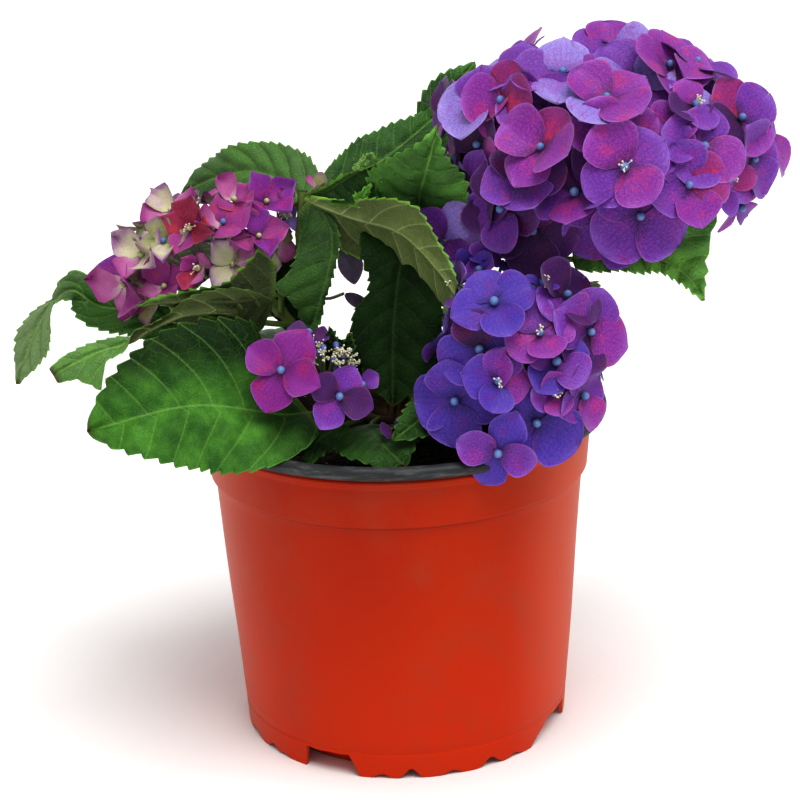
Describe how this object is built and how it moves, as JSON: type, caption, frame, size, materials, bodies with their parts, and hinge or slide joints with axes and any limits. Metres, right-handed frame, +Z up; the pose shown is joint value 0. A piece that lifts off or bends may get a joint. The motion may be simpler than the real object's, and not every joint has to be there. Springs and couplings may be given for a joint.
{
  "type": "hydrangea shrub in a pot",
  "caption": "Young hydrangea shrub with violet mophead blooms and broad serrated leaves, growing on short bare stems from soil in a round tapered plastic nursery pot.",
  "frame": {"origin": "centre of the pot's flat underside, at ground level", "axes": "+Z up; -Y towards the side with the low flower head; +X towards the large flower head"},
  "size_m": [0.3627, 0.2248, 0.3354],
  "materials": {
    "pot": "satin orange wall, black lip and inside",
    "soil": "rough crumbly potting mix",
    "stem": "smooth green young stem with ridges, brown at the foot",
    "leaf": "satin green leaf, paler olive underneath",
    "bloom": "soft matt petals, violet to magenta pink"
  },
  "bodies": {
    "root": {"pot": "pot", "soil": "soil", "stem_base": "stem", "stem_back": "stem", "stem_centre": "stem", "stem_front": "stem", "stem_left": "stem", "stem_low": "stem", "stem_middle": "stem", "stem_right": "stem", "bloom_back": "bloom", "bloom_front_right": "bloom", "bloom_lacecap_front": "bloom", "bloom_large_right": "bloom", "bloom_young_left": "bloom", "leaf_back_left_lower": "leaf", "leaf_back_left_upper": "leaf", "leaf_back_middle": "leaf", "leaf_back_right": "leaf", "leaf_back_upper_right": "leaf", "leaf_behind_lacecap": "leaf", "leaf_behind_young_bloom": "leaf", "leaf_far_left": "leaf", "leaf_front_left": "leaf", "leaf_hanging_middle": "leaf", "leaf_left_curled": "leaf", "leaf_middle_arching": "leaf", "leaf_middle_drooping": "leaf", "leaf_middle_folded": "leaf", "leaf_middle_raised": "leaf", "leaf_middle_upright": "leaf", "leaf_right_back": "leaf", "leaf_right_drooping": "leaf", "leaf_rim_front": "leaf", "leaf_rim_small_left": "leaf", "leaf_rim_small_right": "leaf", "leaf_top": "leaf", "leaf_under_young_bloom": "leaf"}
  },
  "joints": []
}
